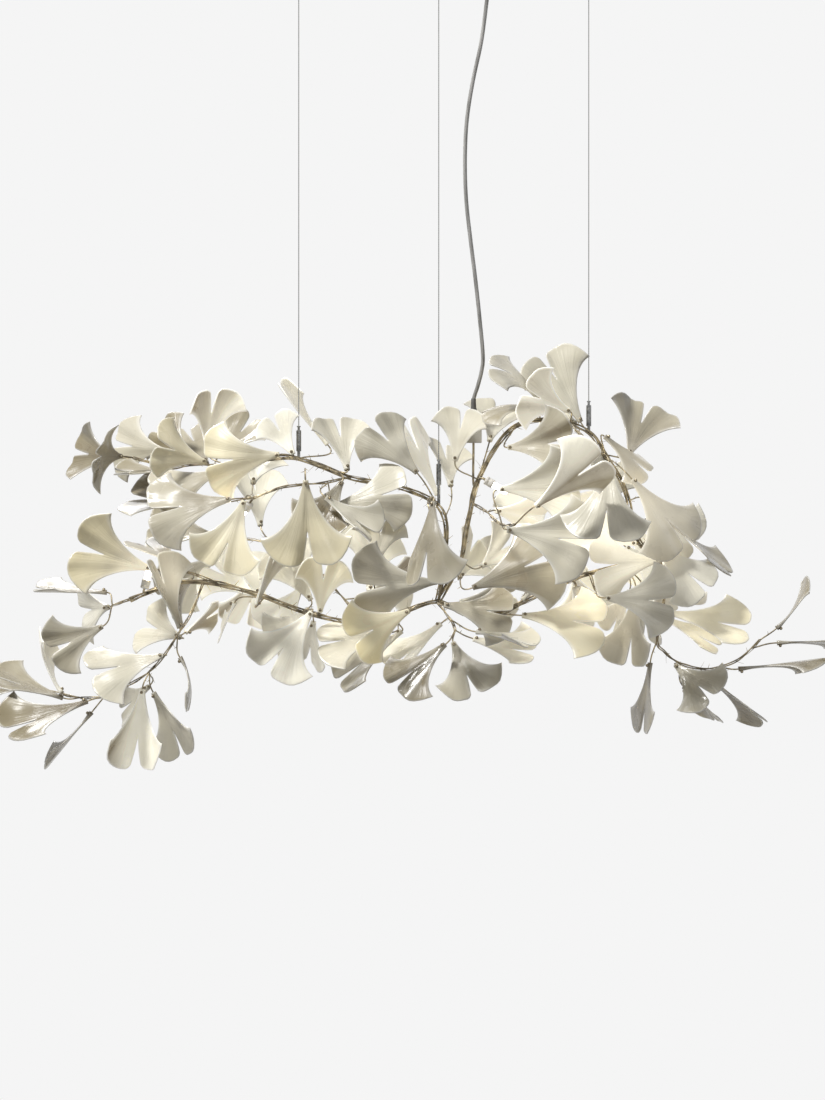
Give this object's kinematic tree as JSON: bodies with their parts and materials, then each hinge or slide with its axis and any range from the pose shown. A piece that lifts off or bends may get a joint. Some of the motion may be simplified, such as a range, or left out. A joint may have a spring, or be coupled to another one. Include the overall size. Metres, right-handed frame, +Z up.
{
  "type": "chandelier",
  "caption": "Branch chandelier: curved glazed fan leaves screwed to thin thorny metal branches, small capsule bulbs, steel cables with grippers, a power cord and a flat ceiling canopy.",
  "frame": {"origin": "middle of the back of the ceiling plate, on the ceiling", "axes": "+Z up towards the ceiling, +X to the right along the canopy and the leaf cloud, +Y away from the viewer"},
  "size_m": [1.4072, 0.5432, 1.3389],
  "materials": {
    "galvanised_steel": "satin zinc",
    "plated_steel": "satin",
    "terminal_plastic": "matt",
    "white_paint": "satin white",
    "dark_rubber": "matt",
    "cable_steel": "bright",
    "gripper_nickel": "satin nickel",
    "cord_sheath": "smooth grey",
    "box_paint": "satin",
    "branch_metal": "patinated",
    "holder_ceramic": "unglazed",
    "bulb_glass": "frosted, lit",
    "porcelain": "translucent gloss glaze",
    "screw_bronze": "dark patina"
  },
  "bodies": {
    "ceiling": {"ceiling_plate": "galvanised_steel", "cable_anchors": "plated_steel", "terminal_block": "terminal_plastic", "canopy_screws": "plated_steel"},
    "cover": {"canopy_cover": "white_paint", "cord_bush": "dark_rubber"},
    "pendant": {"cable_left": "cable_steel", "cable_centre": "cable_steel", "cable_right": "cable_steel", "gripper_left": "gripper_nickel", "gripper_centre": "gripper_nickel", "gripper_right": "gripper_nickel", "gripper_spring_left": "plated_steel", "gripper_spring_centre": "plated_steel", "gripper_spring_right": "plated_steel", "gripper_studs": "plated_steel", "power_cord": "cord_sheath", "cord_gland": "dark_rubber", "junction_box": "box_paint", "junction_cap": "box_paint", "frame_lower": "branch_metal", "frame_riser": "branch_metal", "frame_arc": "branch_metal", "lamp_arms": "branch_metal", "lamp_holders": "holder_ceramic", "branch_upper_left": "branch_metal", "branch_mid_left": "branch_metal", "branch_low_left": "branch_metal", "branch_left_tail": "branch_metal", "branch_lower_middle": "branch_metal", "branch_top": "branch_metal", "branch_hub": "branch_metal", "branch_right": "branch_metal", "branch_low_right": "branch_metal", "branch_right_tail": "branch_metal", "branch_back_left": "branch_metal", "branch_back_right": "branch_metal", "leaves_upper_left": "porcelain", "leaves_mid_left": "porcelain", "leaves_low_left": "porcelain", "leaves_left_tail": "porcelain", "leaves_lower_middle": "porcelain", "leaves_top": "porcelain", "leaves_hub": "porcelain", "leaves_right": "porcelain", "leaves_low_right": "porcelain", "leaves_right_tail": "porcelain", "leaves_back_left": "porcelain", "leaves_back_right": "porcelain", "leaf_screws": "screw_bronze"},
    "plunger_left": {"gripper_plunger_left": "plated_steel"},
    "plunger_centre": {"gripper_plunger_centre": "plated_steel"},
    "plunger_right": {"gripper_plunger_right": "plated_steel"},
    "bulb_arc_body": {"bulb_arc": "bulb_glass"},
    "bulb_right_body": {"bulb_right": "bulb_glass"},
    "bulb_left_body": {"bulb_left": "bulb_glass"},
    "bulb_low_left_body": {"bulb_low_left": "bulb_glass"},
    "bulb_middle_body": {"bulb_middle": "bulb_glass"},
    "bulb_low_right_body": {"bulb_low_right": "bulb_glass"}
  },
  "joints": [
    {"name": "canopy_drop", "type": "slide", "parent": "ceiling", "child": "cover", "axis": [0, 0, -1], "range_m": [0, 0.04]},
    {"name": "pendant_sway", "type": "hinge", "parent": "ceiling", "child": "pendant", "pos_m": [0, 0, -0.008], "axis": [1, 0, 0], "range_deg": [-2.5, 2.5]},
    {"name": "release_left", "type": "slide", "parent": "pendant", "child": "plunger_left", "axis": [0, 0, -1], "range_m": [0, 0.0025], "stiffness_N_per_m": 300, "springref_m": -0.005, "deforming": ["gripper_spring_left"]},
    {"name": "release_centre", "type": "slide", "parent": "pendant", "child": "plunger_centre", "axis": [0, 0, -1], "range_m": [0, 0.0025], "stiffness_N_per_m": 300, "springref_m": -0.005, "deforming": ["gripper_spring_centre"]},
    {"name": "release_right", "type": "slide", "parent": "pendant", "child": "plunger_right", "axis": [0, 0, -1], "range_m": [0, 0.0025], "stiffness_N_per_m": 300, "springref_m": -0.005, "deforming": ["gripper_spring_right"]},
    {"name": "bulb_arc_pull", "type": "slide", "parent": "pendant", "child": "bulb_arc_body", "axis": [0.866, 0, -0.5], "range_m": [0, 0.018]},
    {"name": "bulb_right_pull", "type": "slide", "parent": "pendant", "child": "bulb_right_body", "axis": [-0.9924, -0.0872, 0.0868], "range_m": [0, 0.018]},
    {"name": "bulb_left_pull", "type": "slide", "parent": "pendant", "child": "bulb_left_body", "axis": [-0.4967, 0.5, -0.7094], "range_m": [0, 0.018]},
    {"name": "bulb_low_left_pull", "type": "slide", "parent": "pendant", "child": "bulb_low_left_body", "axis": [0.2588, 0, 0.9659], "range_m": [0, 0.018]},
    {"name": "bulb_middle_pull", "type": "slide", "parent": "pendant", "child": "bulb_middle_body", "axis": [0.173, 0.0872, 0.9811], "range_m": [0, 0.018]},
    {"name": "bulb_low_right_pull", "type": "slide", "parent": "pendant", "child": "bulb_low_right_body", "axis": [0.2549, 0.1736, -0.9513], "range_m": [0, 0.018]}
  ]
}
